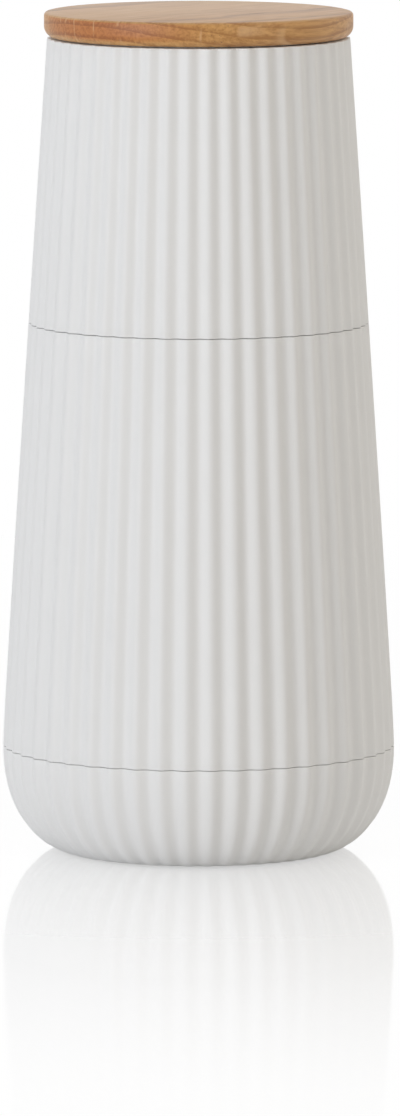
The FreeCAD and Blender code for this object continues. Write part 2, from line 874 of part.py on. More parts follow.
def burr_spring():
    """Coil spring between the bush and the burr's core."""
    length = f"({bush_bottom} - {core_top} - spring_wire - 2 * run_fit)"
    coil = doc.addObject("Part::Helix", "spring_coil")
    coil.setExpression("Radius", bound(f"{spring_inner} + spring_wire / 2"))
    coil.setExpression("Pitch", bound(f"{length} / spring_turns"))
    coil.setExpression("Height", bound(length))
    wire = doc.addObject("Part::Circle", "spring_section")
    wire.setExpression("Radius", bound("spring_wire / 2"))
    wire.setExpression("Placement.Base.x", bound(f"{spring_inner} + spring_wire / 2"))
    wire.Placement.Rotation = FreeCAD.Rotation(Vector(1, 0, 0), 90)
    spring = doc.addObject("Part::Sweep", "burr_spring")
    spring.Label = "burr_spring"
    spring.Sections = [wire]
    spring.Spine = coil
    spring.Solid = True
    spring.Frenet = True
    base = f"{core_top} + run_fit + spring_wire / 2"
    spring.setExpression("Placement.Base.z", bound(base))
    return spring


def adjuster_dial():
    """Gripped coarseness dial under the inner burr, with a pocket for its nut."""
    body = new_body("adjuster_dial", dial_bottom)
    turn(body, "dial_turned", [
        ("thread_radius + square_fit", "0"),
        ("dial_radius - grip_radius", "0"),
        ("dial_radius", "grip_radius"),
        ("dial_radius", "dial_thickness - grip_radius / 2"),
        ("dial_radius - grip_radius / 2", "dial_thickness"),
        ("thread_radius + square_fit", "dial_thickness"),
    ])
    seat = new_sketch(body, "nut_seat_outline", "XY_Plane", "dial_thickness")
    add_loop(seat, polygon("(nut_flats + 2 * push_fit)"))
    sink_into(body, "nut_seat", seat, "dial_thickness - dial_floor")
    grip = new_sketch(body, "grip_outline", "XY_Plane", "dial_thickness")
    add_circle(grip, "dial_radius + grip_radius / 3", "0", "grip_radius")
    pocket = sink_into(body, "grip", grip, "dial_thickness")
    repeat(body, "grips", pocket, "dial_grips")
    return body


def adjuster_nut():
    """Threaded hexagon insert of the dial."""
    body = new_body("adjuster_nut", f"{dial_bottom} + dial_floor")
    outline = new_sketch(body, "nut_outline", "XY_Plane")
    add_loop(outline, polygon("nut_flats"))
    add_circle(outline, "0", "0", "thread_radius + run_fit")
    raise_from(body, "nut_raised", outline, "dial_thickness - dial_floor")
    return body


# Head

def head_shell():
    """Fluted sleeve of the head, open at both ends."""
    form = fluted_form("head_form", stretch(taper_curve(), head_bottom, head_top), 2)
    hollow = new_body("head_hollow")
    above = f"{head_top} + flange_thickness"
    below = f"{head_bottom} - flange_thickness"
    turn(hollow, "head_bore", [
        ("0", below),
        (shell_bore(f"({below})"), below),
        (shell_bore(f"({above})"), above),
        ("0", above),
    ])
    return combined("Part::Cut", "head_shell", form, hollow)


def head_liner():
    """Filling tube of the head, with the collar that turns on the neck."""
    room = f"{neck_outer} + retainer_reach + retainer_room"
    body = turned("head_liner", "0", [
        (f"{neck_outer} + push_fit", collar_bottom),
        (f"{shell_bore(collar_bottom)} - push_fit", collar_bottom),
        (f"{shell_bore(ledge_top)} - push_fit", ledge_top),
        (tube_outer, ledge_top),
        (tube_outer, mouth_top),
        (tube_inner, mouth_top),
        (tube_inner, ledge_top),
        (ledge_inner, ledge_top),
        (ledge_inner, ledge_bottom),
        (room, ledge_bottom),
        (room, collar_top),
        (f"{neck_outer} + push_fit", collar_top),
    ])
    holes = new_sketch(body, "ledge_hole_outline", "XY_Plane", ledge_top)
    between = 180 / value("arms")
    add_ring_of_circles(holes, bridge_screw_circle, "screw_radius + thread_gap", "arms", between)
    sink_into(body, "ledge_holes", holes, "ledge_thickness")
    return body


def drive_bridge():
    """Three-armed bridge that turns the shaft with the head."""
    body = new_body("drive_bridge", ledge_top)
    turn(body, "bridge_ring", [
        (ledge_inner, "0"),
        (f"{tube_inner} - push_fit", "0"),
        (f"{tube_inner} - push_fit", "bridge_thickness"),
        (ledge_inner, "bridge_thickness"),
    ])
    turn(body, "bridge_hub", [
        ("0", "-hub_drop"),
        ("hub_radius", "-hub_drop"),
        ("hub_radius", "hub_rise"),
        ("0", "hub_rise"),
    ])
    arm = new_sketch(body, "bridge_arm_outline", "XY_Plane")
    add_loop(arm, bar("(hub_radius / 2)", f"({ledge_inner} + ledge_width / 4)", "arm_width"))
    pad = raise_from(body, "bridge_arm", arm, "arm_thickness")
    repeat(body, "bridge_arms", pad, "arms")
    square_hole(body, "bridge_square_hole", "hub_rise", "hub_rise + hub_drop")
    holes = new_sketch(body, "bridge_hole_outline", "XY_Plane")
    between = 180 / value("arms")
    add_ring_of_circles(holes, bridge_screw_circle, "screw_radius + thread_gap", "arms", between)
    sink_into(body, "bridge_holes", holes, "bridge_thickness", up=True)
    return body


def bridge_screws():
    seat = f"{ledge_top} + bridge_thickness"
    length = "bridge_screw_length"
    between = 180 / value("arms")
    return screws("bridge_screws", seat, bridge_screw_circle, length, "arms", between, down=True)


def drive_shaft():
    """Square bar with a threaded lower end and grooves for two clips."""
    body = new_body("drive_shaft", shaft_bottom)
    thread_top = "thread_length"
    length = f"({shaft_top} - {shaft_bottom})"
    turn(body, "shaft_thread", [
        ("0", "0"),
        ("thread_radius", "0"),
        ("thread_radius", thread_top),
        ("0", thread_top),
    ])
    square = new_sketch(body, "shaft_square", "XY_Plane", thread_top)
    add_loop(square, polygon("shaft_width", 4))
    raise_from(body, "shaft_bar", square, f"{length} - {thread_top}")
    upper = f"({hub_bottom} - clip_gap - clip_thickness - {shaft_bottom})"
    turn(body, "clip_groove", [
        (clip_groove, upper),
        ("shaft_width", upper),
        ("shaft_width", f"{upper} + clip_thickness"),
        (clip_groove, f"{upper} + clip_thickness"),
    ], kind="PartDesign::Groove")
    turn(body, "end_clip_groove", [
        (end_clip_groove, "shaft_tail"),
        ("shaft_width", "shaft_tail"),
        ("shaft_width", "shaft_tail + clip_thickness"),
        (end_clip_groove, "shaft_tail + clip_thickness"),
    ], kind="PartDesign::Groove")
    turn(body, "shaft_screw_hole", [
        ("0", f"{length} - shaft_screw_length"),
        ("shaft_screw_radius + thread_gap", f"{length} - shaft_screw_length"),
        ("shaft_screw_radius + thread_gap", length),
        ("0", length),
    ], kind="PartDesign::Groove")
    return body


def clip(name, height, groove, reach):
    """Open ring snapped into a groove of the shaft."""
    return turned(name, height, [
        (f"{groove} + run_fit", "0"),
        (reach, "0"),
        (reach, "clip_thickness - run_fit"),
        (f"{groove} + run_fit", "clip_thickness - run_fit"),
    ], opening="clip_opening")


def shaft_clip():
    height = f"{hub_bottom} - clip_gap - clip_thickness + run_fit / 2"
    return clip("shaft_clip", height, clip_groove, "shaft_width / 2 + clip_reach")


def end_clip():
    height = f"{end_clip_bottom} + run_fit / 2"
    return clip("end_clip", height, end_clip_groove, "thread_radius + clip_reach / 2")


def shaft_washer():
    return turned("shaft_washer", hub_top, [
        ("shaft_screw_radius + square_fit", "0"),
        ("washer_radius", "0"),
        ("washer_radius", "washer_thickness"),
        ("shaft_screw_radius + square_fit", "washer_thickness"),
    ])


def shaft_screw():
    """Screw that clamps the bridge on the top of the shaft."""
    body = new_body("shaft_screw", f"{hub_top} + washer_thickness")
    turn(body, "shaft_screw_turned", [
        ("0", "-(shaft_screw_length - 2 * shaft_screw_radius)"),
        ("shaft_screw_radius", "-(shaft_screw_length - 2 * shaft_screw_radius)"),
        ("shaft_screw_radius", "0"),
        ("shaft_screw_head", "0"),
        ("shaft_screw_head", "shaft_screw_head / 2"),
        ("shaft_screw_head * 0.7", "shaft_screw_head * 0.7"),
        ("0", "shaft_screw_head * 0.7"),
    ])
    socket = new_sketch(body, "shaft_screw_socket_outline", "XY_Plane", "shaft_screw_head * 0.7")
    add_loop(socket, polygon("shaft_screw_radius * 2"))
    sink_into(body, "shaft_screw_socket", socket, "shaft_screw_radius")
    return body


# Lid

def lid_disc():
    """Oak disc with an undercut rim and blind holes for its screws."""
    body = turned("lid_disc", lid_bottom, [
        ("0", "0"),
        (f"{lid_radius} - lid_undercut", "0"),
        (lid_radius, "lid_undercut_height"),
        (lid_radius, "lid_thickness - lid_edge"),
        (f"{lid_radius} - lid_edge", "lid_thickness"),
        ("0", "lid_thickness"),
    ])
    holes = new_sketch(body, "lid_hole_outline", "XY_Plane")
    add_ring_of_circles(holes, "lid_screw_circle", "screw_radius + thread_gap", "lid_screws")
    sink_into(body, "lid_holes", holes, "lid_screw_length - plug_plate", up=True)
    return body


def lid_plug():
    """Plug under the lid that stands on the filling tube and carries the soft ring."""
    centre = "-plug_seal_height"
    half_groove = "(seal_section / 2 + run_fit)"
    groove = seal_groove(tube_inner)
    rest = f"{mouth_top} + run_fit - {lid_bottom}"
    body = turned("lid_plug", lid_bottom, [
        ("0", "0"),
        (f"{tube_outer} - plug_rest", "0"),
        (f"{tube_outer} - plug_rest", rest),
        (plug_radius, rest),
        (plug_radius, f"{centre} + {half_groove}"),
        (groove, f"{centre} + {half_groove}"),
        (groove, f"{centre} - {half_groove}"),
        (plug_radius, f"{centre} - {half_groove}"),
        (plug_radius, "-plug_depth"),
        (f"{plug_radius} - plug_wall", "-plug_depth"),
        (f"{plug_radius} - plug_wall", "-plug_plate"),
        ("0", "-plug_plate"),
    ])
    holes = new_sketch(body, "plug_hole_outline", "XY_Plane")
    add_ring_of_circles(holes, "lid_screw_circle", "screw_radius + thread_gap", "lid_screws")
    sink_into(body, "plug_holes", holes, "plug_plate")
    return body


def lid_seal():
    return soft_ring("lid_seal_ring", f"{lid_bottom} - plug_seal_height", tube_inner)


def lid_screws():
    seat = f"{lid_bottom} - plug_plate"
    return screws("lid_screws", seat, "lid_screw_circle", "lid_screw_length", "lid_screws")


# Building and writing

def build():
    makers = [
        base_shell, grounds_cup, base_seal, foot_ring,
        body_shell, bottom_plate, spice_chamber, glide_ring, retaining_ring,
        grinder_housing, housing_screws, outer_burr, bearing_spider,
        inner_burr, burr_core, burr_spring, adjuster_dial, adjuster_nut,
        head_shell, head_liner, drive_bridge, bridge_screws,
        drive_shaft, shaft_bush, shaft_clip, end_clip, shaft_washer, shaft_screw,
        lid_disc, lid_plug, lid_seal, lid_screws,
    ]
    pieces = [maker() for maker in makers]
    doc.recompute()
    return pieces


def check(pieces):
    """Stop on any failed object or empty or broken shape."""
    for item in doc.Objects:
        if "Invalid" in item.State or "Error" in item.State:
            raise RuntimeError(f"{item.Name} failed: {item.State}")
    for piece in pieces:
        if piece.Shape.isNull() or not piece.Shape.isValid() or piece.Shape.Volume <= 0:
            raise RuntimeError(f"{piece.Label} has no sound shape")


def write(pieces):
    os.makedirs("parts", exist_ok=True)
    for piece in pieces:
        piece.Shape.exportStep(f"parts/{piece.Label}.step")
        print(f"{piece.Label}: {len(piece.Shape.Solids)} solids, {piece.Shape.Volume:.1f} mm3")


mill = build()
check(mill)
write(mill)
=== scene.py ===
# %% [markdown]
# # A fluted salt and pepper mill
#
# The mill stands 171 mm tall. It has a rounded base cup, a long body and a head that turns, all
# matt white and fluted from end to end, under a thin oak lid. The CAD model fixes every place and
# joint, so this lesson only dresses it: the fluted shells, the lid and the foot are modelled
# again with finer forms, and every piece gets the finish of its real material.

import json
import math

import bmesh
import bpy
import numpy as np
from mathutils import Euler, Matrix, Vector
from mathutils.geometry import interpolate_bezier


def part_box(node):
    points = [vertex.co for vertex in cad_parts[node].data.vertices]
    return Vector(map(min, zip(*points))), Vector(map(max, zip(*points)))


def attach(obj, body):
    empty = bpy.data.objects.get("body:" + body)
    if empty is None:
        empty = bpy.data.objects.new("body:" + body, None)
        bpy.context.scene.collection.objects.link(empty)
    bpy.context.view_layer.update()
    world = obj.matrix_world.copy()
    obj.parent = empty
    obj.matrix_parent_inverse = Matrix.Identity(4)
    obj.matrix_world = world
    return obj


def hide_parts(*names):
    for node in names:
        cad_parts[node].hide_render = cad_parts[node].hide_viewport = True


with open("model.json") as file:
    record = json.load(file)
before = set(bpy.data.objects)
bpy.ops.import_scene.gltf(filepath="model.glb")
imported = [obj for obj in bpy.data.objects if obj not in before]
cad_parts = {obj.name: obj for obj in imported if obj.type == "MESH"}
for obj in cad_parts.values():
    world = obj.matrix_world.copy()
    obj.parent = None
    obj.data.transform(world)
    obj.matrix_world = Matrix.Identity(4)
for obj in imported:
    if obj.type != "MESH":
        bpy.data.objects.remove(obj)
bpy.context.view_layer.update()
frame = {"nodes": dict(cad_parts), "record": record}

# %% [markdown]
# ## Sizes
#
# Heights come from the CAD pieces, so nothing has to be fitted by eye. The radii of the flutes'
# crests can't be read off a box, because no crest lies exactly on an axis, so they are written
# here as the part's own sizes. One millimetre is one thousandth of Blender's metre.

# %% Heights and radii
MM = 0.001
WIDEST_RADIUS = 40.0 * MM     # crests at the lower seam
TAPER = 9.17 * MM             # radius lost from there to the rim of the head
RIM_RADIUS = WIDEST_RADIUS - TAPER
SHELL_WALL = 2.2 * MM         # behind the valleys of the flutes
FLUTES = 48
FLUTE_DEPTH = 0.9 * MM        # crest to valley at the widest radius
FIRST_CREST = math.radians(-90) + math.pi / FLUTES      # a valley faces the front


def levels(node):
    """Lowest and highest point of a CAD piece."""
    low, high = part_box(node)
    return low.z, high.z


base_bottom, base_top = levels("base_shell")
body_bottom, body_top = levels("body_shell")
head_bottom, head_top = levels("head_shell")
lid_bottom, lid_top = levels("lid_disc")
print("seams at", round(base_top / MM, 2), "and", round(body_top / MM, 2), "mm")

# %% [markdown]
# ## The side line
#
# Seen from the side, the crests of the flutes follow two smooth curves: one rounds the base up
# from the table, the other runs from the lower seam up to the rim and leans in. Each is a single
# Bezier curve with four poles, the way a designer would draw it. The curve is turned into a
# table of heights and radii once, and the shells look their radius up in it.

# %% Side line of the crests
CONTACT_RADIUS = 27.0 * MM    # where the rounding would touch the table
CONTACT_HANDLE = 3.4 * MM
SIDE_HANDLE = 16.0 * MM
BELLY_HANDLE = 4.1 * MM
TAPER_RUN = 0.73              # far pole of the taper, as shares of its height and spread
TAPER_SPREAD = 0.77
TABLE_POINTS = 400

rounding_poles = (
    (CONTACT_RADIUS, 0),
    (CONTACT_RADIUS + CONTACT_HANDLE, 0),
    (WIDEST_RADIUS, base_top - SIDE_HANDLE),
    (WIDEST_RADIUS, base_top),
)
taper_poles = (
    (WIDEST_RADIUS, body_bottom),
    (WIDEST_RADIUS, body_bottom + BELLY_HANDLE),
    (RIM_RADIUS + TAPER * TAPER_SPREAD, head_top - (head_top - body_bottom) * TAPER_RUN),
    (RIM_RADIUS, head_top),
)


def curve_points(poles, count):
    """Points along the Bezier curve through four (radius, height) poles."""
    return interpolate_bezier(*[Vector((*pole, 0)) for pole in poles], count)


def side_line(poles):
    """Heights along a curve, and the radius at each."""
    points = curve_points(poles, TABLE_POINTS)
    return [point.y for point in points], [point.x for point in points]


rounding = side_line(rounding_poles)
taper = side_line(taper_poles)


def crest(height):
    """Radius of the flutes' crests at a height."""
    line = rounding if height < (base_top + body_bottom) / 2 else taper
    return float(np.interp(height, *line))


def bore(height):
    """Inside radius of the body and head shells, on a straight taper."""
    share = (head_top - height) / (head_top - body_bottom)
    return RIM_RADIUS + TAPER * share - FLUTE_DEPTH - SHELL_WALL


print("crest radius at the upper seam:", round(crest(head_bottom) / MM, 2), "mm")

# %% [markdown]
# ## Tools for turned pieces
#
# Almost everything on a mill is round, so most pieces start as a flat outline of one wall that
# is spun about the axis. Bevelling the corner points of the wire, before the spin, rounds
# the edges for a handful of vertices, where bevelling the finished mesh would touch thousands.

# %% Outlines, spins and finished pieces
SHARP_ANGLE = math.radians(30)
MERGE_DISTANCE = 0.001 * MM
BEVEL_STEPS = 3


def outline(corners, roundings=()):
    """Closed wire through (radius, height) corners, some of them rounded: {corner number: radius}."""
    bm = bmesh.new()
    verts = [bm.verts.new((radius, 0, height)) for radius, height in corners]
    for start, end in zip(verts, verts[1:] + verts[:1]):
        on_axis = start.co.x + end.co.x <= MERGE_DISTANCE
        if not on_axis:
            bm.edges.new((start, end))
    for number, offset in dict(roundings).items():
        bmesh.ops.bevel(
            bm, geom=[verts[number]], offset=offset, offset_type="OFFSET", affect="VERTICES",
            segments=BEVEL_STEPS, profile=0.5, material=-1, clamp_overlap=True,
        )
    return bm


def spin_round(bm, steps):
    """Spin a wire all the way round and close its poles."""
    bmesh.ops.spin(
        bm, geom=bm.verts[:] + bm.edges[:], cent=(0, 0, 0), axis=(0, 0, 1), dvec=(0, 0, 0),
        angle=math.tau, steps=steps, use_merge=True, use_duplicate=False,
    )
    bmesh.ops.remove_doubles(bm, verts=bm.verts[:], dist=MERGE_DISTANCE)
    bmesh.ops.recalc_face_normals(bm, faces=bm.faces[:])


def finished(name, bm, body, node):
    """Make the mesh an object that rides on a body and stands for a CAD node."""
    for face in bm.faces:
        face.smooth = True
    for edge in bm.edges:
        edge.smooth = edge.calc_face_angle(0) < SHARP_ANGLE
    mesh = bpy.data.meshes.new(name)
    bm.to_mesh(mesh)
    bm.free()
    piece = bpy.data.objects.new(name, mesh)
    bpy.context.scene.collection.objects.link(piece)
    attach(piece, body)
    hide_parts(node)
    print(name, "has", len(mesh.polygons), "faces")
    return piece


print("edges of", round(math.degrees(SHARP_ANGLE)), "degrees and more stay sharp")

# %% [markdown]
# ## The fluted shells
#
# The base, the body and the head share one set of 48 flutes, and the flutes have to meet across
# the seams. Each wall is spun through one flute only, the sector is copied round 47 times,
# and then every point outside the bore is drawn in by a cosine wave that depends on its
# angle. The wave is a share of the radius, so the flutes narrow with the taper.

# %% Flutes
STEPS_PER_FLUTE = 16


def spin_flutes(bm):
    """Spin a wire through one flute, then copy that sector round."""
    pitch = math.tau / FLUTES
    around = dict(cent=(0, 0, 0), axis=(0, 0, 1), dvec=(0, 0, 0))
    bmesh.ops.rotate(bm, verts=bm.verts[:], cent=(0, 0, 0), matrix=Matrix.Rotation(FIRST_CREST, 3, "Z"))
    bmesh.ops.spin(
        bm, geom=bm.verts[:] + bm.edges[:], angle=pitch, steps=STEPS_PER_FLUTE,
        use_merge=False, use_duplicate=False, **around,
    )
    bmesh.ops.spin(
        bm, geom=bm.verts[:] + bm.edges[:] + bm.faces[:], angle=math.tau - pitch, steps=FLUTES - 1,
        use_merge=False, use_duplicate=True, **around,
    )
    bmesh.ops.remove_doubles(bm, verts=bm.verts[:], dist=MERGE_DISTANCE)
    bmesh.ops.recalc_face_normals(bm, faces=bm.faces[:])


def press_flutes(bm, inside):
    """Draw the outside in along a wave; inside(height) is the radius where it fades out."""
    for vert in bm.verts:
        radius = vert.co.xy.length
        height = vert.co.z
        room = crest(height) - inside(height)
        share = min((radius - inside(height)) / room, 1)
        if share > 0:
            phase = FLUTES * (math.atan2(vert.co.y, vert.co.x) - FIRST_CREST)
            depth = FLUTE_DEPTH / WIDEST_RADIUS * crest(height)
            vert.co.xy *= 1 - share * depth * (1 - math.cos(phase)) / 2 / radius


def side_points(low, high, rows):
    """Points of the crest line between two heights, evenly spaced in height."""
    heights = np.linspace(low, high, rows)
    return [(crest(height), float(height)) for height in heights]


print("flutes are", round(math.tau * WIDEST_RADIUS / FLUTES / MM, 1), "mm apart at the widest place")

# %% [markdown]
# The head is a plain sleeve. Its rim under the lid and its edge at the seam are only slightly
# broken, and its end face leans a little towards the seam, which keeps the seam a fine line.

# %% Head shell
EDGE_ROUNDING = 0.15 * MM
LIP = 0.1 * MM                # the outside of an edge stands proud of its inside
SIDE_ROWS = 22

corners = side_points(head_bottom - LIP, head_top, SIDE_ROWS)
corners += [(bore(head_top), head_top), (bore(head_bottom), head_bottom)]
bm = outline(corners, {0: EDGE_ROUNDING, SIDE_ROWS - 1: EDGE_ROUNDING})
spin_flutes(bm)
press_flutes(bm, bore)
fluted_head = finished("fluted_head", bm, "head", "head_shell")

# %% [markdown]
# The body is a longer sleeve with two features inside: a rib that the bottom plate stands
# against, and a recess at the top that takes the chamber's flange. The wave has to fade out at
# the recess there, not at the bore, or it would press into the flange.

# %% Body shell
BODY_ROWS = 30
RIB_WIDTH = 1.7 * MM
RIB_HEIGHT = 2.0 * MM
RECESS = 1.2 * MM             # deeper than the bore at the top
FLANGE_THICKNESS = 1.5 * MM   # of the chamber's flange, under the slip ring
FIT = 0.1 * MM

plate_top = levels("bottom_plate")[1]
recess_bottom = levels("glide_ring")[0] - FLANGE_THICKNESS
recess_radius = bore(body_top) + RECESS
rib_radius = bore(body_bottom) - RIB_WIDTH
rib_top = plate_top + RIB_HEIGHT


def body_inside(height):
    return recess_radius if height > recess_bottom - FIT else bore(height)


corners = side_points(body_bottom - LIP, body_top + LIP, BODY_ROWS)
corners += [
    (recess_radius, body_top), (recess_radius, recess_bottom), (bore(recess_bottom), recess_bottom),
    (bore(rib_top), rib_top), (rib_radius, rib_top), (rib_radius, plate_top),
    (bore(body_bottom), plate_top), (bore(body_bottom), body_bottom),
]
bm = outline(corners, {0: EDGE_ROUNDING, BODY_ROWS - 1: EDGE_ROUNDING})
spin_flutes(bm)
press_flutes(bm, body_inside)
fluted_body = finished("fluted_body", bm, "mill_body", "body_shell")

# %% [markdown]
# The base is a cup. Its outside rounds under to a flat underside with a groove for the foot,
# and its inside holds a separate smooth cup. The rows of the rounding are spaced along the
# curve, so that they are closest together where it bends most.

# %% Base shell
ROUNDING_ROWS = 30
CAVITY_RADIUS = 35.15 * MM
KNEE_HEIGHT = 11.0 * MM
FLOOR_STEP = 1.5 * MM         # cup floor beyond the contact radius
FLOOR_THICKNESS = 2.5 * MM
GROOVE_DEPTH = 1.0 * MM
FOOT_MARGIN = 0.5 * MM        # foot inside the contact radius
FOOT_WIDTH = 3.5 * MM

floor_radius = CONTACT_RADIUS + FLOOR_STEP
groove_outer = CONTACT_RADIUS - FOOT_MARGIN
groove_inner = groove_outer - FOOT_WIDTH

curve = curve_points(rounding_poles, ROUNDING_ROWS)
side = [(crest(base_bottom), base_bottom)]
side += [(point.x, point.y) for point in curve if point.y > base_bottom + FIT]
side.append((WIDEST_RADIUS, base_top + LIP))
floor_top = base_bottom + FLOOR_THICKNESS
groove_top = base_bottom + GROOVE_DEPTH


def base_inside(height):
    heights = (base_bottom, floor_top, KNEE_HEIGHT)
    return float(np.interp(height, heights, (groove_outer, floor_radius, CAVITY_RADIUS)))


corners = side + [
    (CAVITY_RADIUS, base_top), (CAVITY_RADIUS, KNEE_HEIGHT), (floor_radius, floor_top), (0, floor_top),
    (0, base_bottom), (groove_inner, base_bottom), (groove_inner, groove_top),
    (groove_outer, groove_top), (groove_outer, base_bottom),
]
bm = outline(corners, {len(side) - 1: EDGE_ROUNDING})
spin_flutes(bm)
press_flutes(bm, base_inside)
fluted_base = finished("fluted_base", bm, "base", "base_shell")

# %% [markdown]
# ## The foot and the lid
#
# The foot is a soft ring in the groove of the base. Two shallow grooves in its face give it
# grip, and its edges are well rounded because it is moulded in silicone.

# %% Foot ring
FOOT_STEPS = 192
FOOT_ROUNDING = 0.3 * MM
GRIP_DEPTH = 0.2 * MM
GRIP_WIDTH = 0.4 * MM
GRIP_PLACES = (0.33, 0.67)

foot_low, foot_high = levels("foot_ring")
foot_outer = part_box("foot_ring")[1].x
foot_inner = groove_inner + FIT
corners = [(foot_inner, foot_low)]
for place in GRIP_PLACES:
    middle = foot_inner + (foot_outer - foot_inner) * place
    corners += [
        (middle - GRIP_WIDTH / 2, foot_low), (middle - GRIP_WIDTH / 4, foot_low + GRIP_DEPTH),
        (middle + GRIP_WIDTH / 4, foot_low + GRIP_DEPTH), (middle + GRIP_WIDTH / 2, foot_low),
    ]
last = len(corners)
corners += [(foot_outer, foot_low), (foot_outer, foot_high), (foot_inner, foot_high)]
bm = outline(corners, {0: FOOT_ROUNDING, last: FOOT_ROUNDING})
spin_round(bm, FOOT_STEPS)
silicone_foot = finished("silicone_foot", bm, "base", "foot_ring")

# %% [markdown]
# The lid is a thin disc turned from one board. Its side is upright above and curves in below,
# so that a shadow gap shows between the wood and the white rim. Sandpaper has softened the
# edges, most of all the upper one. The curve below is an arc that leaves the upright side
# smoothly, so its radius follows from how far it reaches in and how high it starts.

# %% Oak lid
LID_STEPS = 256
UNDERCUT = 1.5 * MM
UNDERCUT_HEIGHT = 2.2 * MM
UNDERCUT_STEPS = 8
LID_EDGE = 0.7 * MM
LID_BREAK = 0.25 * MM

lid_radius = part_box("lid_disc")[1].x
arc_radius = (UNDERCUT ** 2 + UNDERCUT_HEIGHT ** 2) / (2 * UNDERCUT)
arc_angle = math.asin(UNDERCUT_HEIGHT / arc_radius)
corners = [(0, lid_bottom)]
for step in range(UNDERCUT_STEPS, -1, -1):
    angle = arc_angle * step / UNDERCUT_STEPS
    reach = arc_radius * (1 - math.cos(angle))
    drop = arc_radius * math.sin(angle)
    corners.append((lid_radius - reach, lid_bottom + UNDERCUT_HEIGHT - drop))
corners += [(lid_radius, lid_top), (0, lid_top)]
bm = outline(corners, {1: LID_BREAK, len(corners) - 2: LID_EDGE})
spin_round(bm, LID_STEPS)
oak_lid = finished("oak_lid", bm, "lid", "lid_disc")

# %% [markdown]
# ## Finishes
#
# Every finish is a small node tree. Effects that several materials use are node groups with
# named inputs, built once. A few helpers keep the trees short: the first adds a node and fills
# its sockets, and the others wrap the nodes that are used most.

# %% Node helpers
def add(tree, kind, options=(), inputs=()):
    """Add a node, set its options, and fill its sockets with values or links."""
    node = tree.nodes.new("ShaderNode" + kind)
    for option, choice in dict(options).items():
        setattr(node, option, choice)
    for socket, source in dict(inputs).items():
        if isinstance(source, bpy.types.NodeSocket):
            tree.links.new(source, node.inputs[socket])
        else:
            node.inputs[socket].default_value = source
    return node


def calculate(tree, operation, *values, clamp=False):
    """Output of a Math node."""
    options = {"operation": operation, "use_clamp": clamp}
    return add(tree, "Math", options, dict(enumerate(values))).outputs["Value"]


def spread(tree, value, low, high, to_low=0.0, to_high=1.0):
    """Map a range of a value smoothly onto another range."""
    inputs = {"Value": value, "From Min": low, "From Max": high, "To Min": to_low, "To Max": to_high}
    return add(tree, "MapRange", {"interpolation_type": "SMOOTHSTEP"}, inputs).outputs["Result"]


def blend_colours(tree, factor, first, second, mode="MIX"):
    """Output of a colour Mix node, whose sockets have numbers because their names repeat."""
    options = {"data_type": "RGBA", "blend_type": mode}
    return add(tree, "Mix", options, {0: factor, 6: first, 7: second}).outputs[2]


def noise(tree, vector, scale, detail=2.0, roughness=0.5):
    inputs = {"Vector": vector, "Scale": scale, "Detail": detail, "Roughness": roughness}
    return add(tree, "TexNoise", (), inputs).outputs["Fac"]


def new_group(name, inputs, outputs):
    """An empty shader node group with named sockets."""
    group = bpy.data.node_groups.new(name, "ShaderNodeTree")
    for direction, sockets in (("INPUT", inputs), ("OUTPUT", outputs)):
        for socket, kind in sockets.items():
            group.interface.new_socket(socket, in_out=direction, socket_type="NodeSocket" + kind)
    source = group.nodes.new("NodeGroupInput")
    result = group.nodes.new("NodeGroupOutput")
    return group, source.outputs, result.inputs


print("node groups so far:", len(bpy.data.node_groups))

# %% [markdown]
# Moulded plastic is never quite even. The group below varies the tone a little over
# centimetres, varies the gloss over millimetres, and gives a fine grain as a height for a Bump
# node. It reads Object coordinates, so it stays put when the piece moves.

# %% Moulded skin group
PATCHES = 90                  # features per metre
SPECKS = 600
SPECK_SHARE = 0.35            # of the specks in the tone
NOISE_MEAN = 0.5


def build_moulded_skin():
    group, given, result = new_group(
        "moulded_skin",
        {
            "Color": "Color", "Mottle": "Float", "Roughness": "Float",
            "Gloss Change": "Float", "Grain": "Float",
        },
        {"Color": "Color", "Roughness": "Float", "Height": "Float"},
    )
    place = add(group, "TexCoord").outputs["Object"]
    broad = noise(group, place, PATCHES, detail=3)
    middle = noise(group, place, SPECKS, detail=4, roughness=0.6)
    fine = noise(group, place, given["Grain"], detail=3, roughness=0.6)
    tone = calculate(group, "ADD", broad, calculate(group, "MULTIPLY", middle, SPECK_SHARE))
    mean = NOISE_MEAN + SPECK_SHARE * NOISE_MEAN
    tone = calculate(group, "MULTIPLY", calculate(group, "SUBTRACT", tone, mean), given["Mottle"])
    value = calculate(group, "ADD", tone, 1.0)
    shade = add(group, "HueSaturation", (), {"Value": value, "Color": given["Color"]}).outputs["Color"]
    change = calculate(group, "SUBTRACT", middle, NOISE_MEAN)
    change = calculate(group, "MULTIPLY", change, given["Gloss Change"])
    group.links.new(shade, result["Color"])
    group.links.new(calculate(group, "ADD", given["Roughness"], change, clamp=True), result["Roughness"])
    group.links.new(fine, result["Height"])
    return group


moulded_skin = build_moulded_skin()
print(moulded_skin.name, "has", len(moulded_skin.nodes), "nodes")

# %% [markdown]
# Five finishes are moulded and share that group: the matt shells, the satin plastic inside, the
# dark plastic of the grinder, the soft rings and the ceramic burrs. They differ in colour, gloss
# and grain. Silicone also lets a little light in under its skin.

# %% Plastics, silicone and ceramic
SKIN_DEPTH = 0.6 * MM         # how far light spreads in silicone


def new_material(name):
    material = bpy.data.materials.new(name)
    material.use_nodes = True
    tree = material.node_tree
    return material, tree, tree.nodes["Principled BSDF"].inputs


